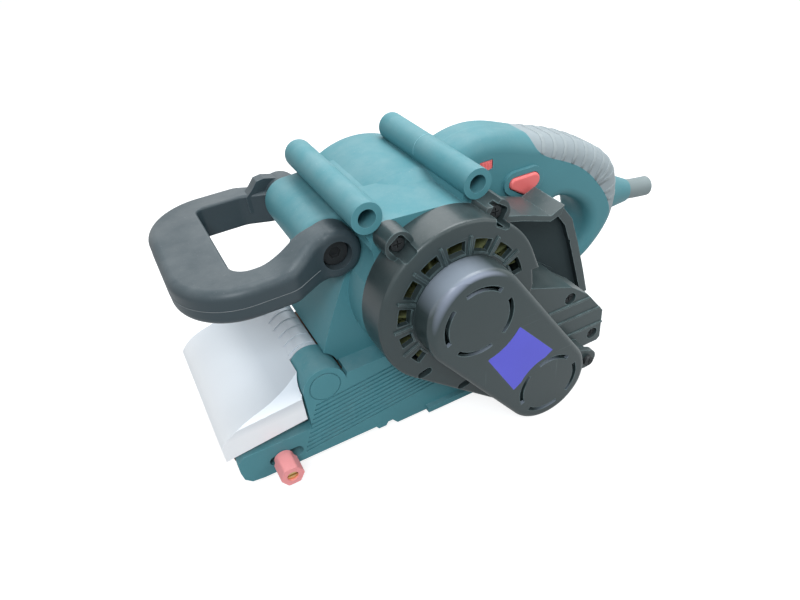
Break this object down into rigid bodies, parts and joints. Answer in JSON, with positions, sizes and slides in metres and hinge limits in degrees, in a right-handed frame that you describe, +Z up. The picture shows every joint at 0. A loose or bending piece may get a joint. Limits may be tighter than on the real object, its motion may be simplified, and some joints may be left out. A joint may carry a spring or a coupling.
{
  "type": "belt sander",
  "caption": "Hand-held electric belt sander with a rear D handle, folding front bail, side belt drive cover, hinged nose cover and dust outlet.",
  "frame": {"origin": "on the sanding face, midway between the two roller axes and on the belt's centre line", "axes": "+X forward to the nose, +Y to the left side with the drive cover, +Z up"},
  "size_m": [0.3305, 0.1445, 0.1553],
  "materials": {
    "teal_plastic": "fine satin",
    "black_plastic": "fine grain",
    "dark_grey_plastic": "satin",
    "grip_rubber": "soft matt",
    "sleeve_rubber": "soft matt",
    "silver_cover": "satin silver",
    "red_plastic": "semi gloss",
    "blue_plate": "printed plate, plain",
    "steel": "plain",
    "brass": "turned",
    "aluminium": "turned",
    "sleeve_black": "ground",
    "abrasive": "grit coated cloth",
    "cushion": "graphite cloth",
    "windings": "enamelled copper wire",
    "fan_plastic": "moulded",
    "carbon": "carbon block",
    "belt_rubber": "toothed belt"
  },
  "bodies": {
    "frame": {"base": "teal_plastic", "platen": "steel", "platen_pad": "cushion", "platen_screws": "steel", "sanding_belt": "abrasive", "drive_bearings": "steel", "tension_spring": "steel", "hinge_pin": "steel", "motor_housing": "teal_plastic", "stator": "steel", "field_coils": "windings", "brushes": "carbon", "brush_holders": "brass", "motor_bearings": "steel", "drive_housing": "black_plastic", "housing_screws": "steel", "drive_belt": "belt_rubber", "belt_cover": "black_plastic", "cover_screw": "steel", "cover_plate": "blue_plate", "dust_duct": "black_plastic", "duct_screws": "steel", "handle_left": "teal_plastic", "handle_right": "teal_plastic", "grip_skin": "grip_rubber", "handle_screws": "steel", "cord_sleeve": "sleeve_rubber", "switch": "dark_grey_plastic", "speed_unit": "dark_grey_plastic", "pivot_bolts": "steel"},
    "armature": {"armature": "steel", "commutator": "windings", "fan": "fan_plastic", "small_pulley": "steel"},
    "drive_roller": {"drive_roller": "aluminium", "drive_sleeve": "sleeve_black", "large_pulley": "black_plastic"},
    "yoke": {"yoke": "aluminium", "front_axle": "steel"},
    "front_roller": {"front_roller": "aluminium"},
    "tension_lever": {"tension_lever": "steel"},
    "tracking_knob": {"tracking_knob": "red_plastic", "tracking_screw": "brass"},
    "nose_cover": {"nose_cover": "silver_cover"},
    "bail": {"bail_handle": "dark_grey_plastic"},
    "trigger": {"trigger": "dark_grey_plastic"},
    "lock_button": {"lock_button": "red_plastic"},
    "speed_dial": {"speed_dial": "red_plastic"}
  },
  "joints": [
    {"name": "armature_spin", "type": "hinge", "parent": "frame", "child": "armature", "pos_m": [-0.0316, 0, 0.0939], "axis": [0, 1, 0], "continuous": true},
    {"name": "drive_spin", "type": "hinge", "parent": "frame", "child": "drive_roller", "pos_m": [-0.0787, 0, 0.02705], "axis": [0, 1, 0], "continuous": true},
    {"name": "yoke_slide", "type": "slide", "parent": "frame", "child": "yoke", "axis": [1, 0, 0], "range_m": [-0.008, 0], "stiffness_N_per_m": 2500, "springref_m": 0.008, "deforming": ["tension_spring"]},
    {"name": "front_spin", "type": "hinge", "parent": "yoke", "child": "front_roller", "pos_m": [0.0787, 0, 0.01905], "axis": [0, 1, 0], "continuous": true},
    {"name": "lever_turn", "type": "hinge", "parent": "frame", "child": "tension_lever", "pos_m": [0.028, 0, 0.019], "axis": [0, 1, 0], "range_deg": [0, 124]},
    {"name": "knob_turn", "type": "hinge", "parent": "yoke", "child": "tracking_knob", "pos_m": [0.073, 0, 0.0171], "axis": [0, 1, 0], "range_deg": [-180, 180]},
    {"name": "nose_open", "type": "hinge", "parent": "frame", "child": "nose_cover", "pos_m": [0.0407, 0, 0.0554], "axis": [0, -1, 0], "range_deg": [0, 40]},
    {"name": "bail_swing", "type": "hinge", "parent": "frame", "child": "bail", "pos_m": [0.018, 0, 0.125], "axis": [0, -1, 0], "range_deg": [-10, 60]},
    {"name": "trigger_pull", "type": "slide", "parent": "frame", "child": "trigger", "axis": [0.7696, 0, 0.6385], "range_m": [0, 0.005], "stiffness_N_per_m": 600, "springref_m": -0.003},
    {"name": "lock_press", "type": "slide", "parent": "frame", "child": "lock_button", "axis": [0, -1, 0], "range_m": [0, 0.003], "stiffness_N_per_m": 500, "springref_m": -0.002},
    {"name": "dial_turn", "type": "hinge", "parent": "frame", "child": "speed_dial", "pos_m": [-0.0825, 0.0152, 0.1337], "axis": [0, 0, 1], "range_deg": [-135, 135]}
  ],
  "couplings": [
    {"joint": "drive_spin", "follows": "armature_spin", "ratio": 0.33333},
    {"joint": "front_spin", "follows": "armature_spin", "ratio": 0.47709},
    {"joint": "lever_turn", "follows": "yoke_slide", "rad_per_m": -270.53}
  ]
}
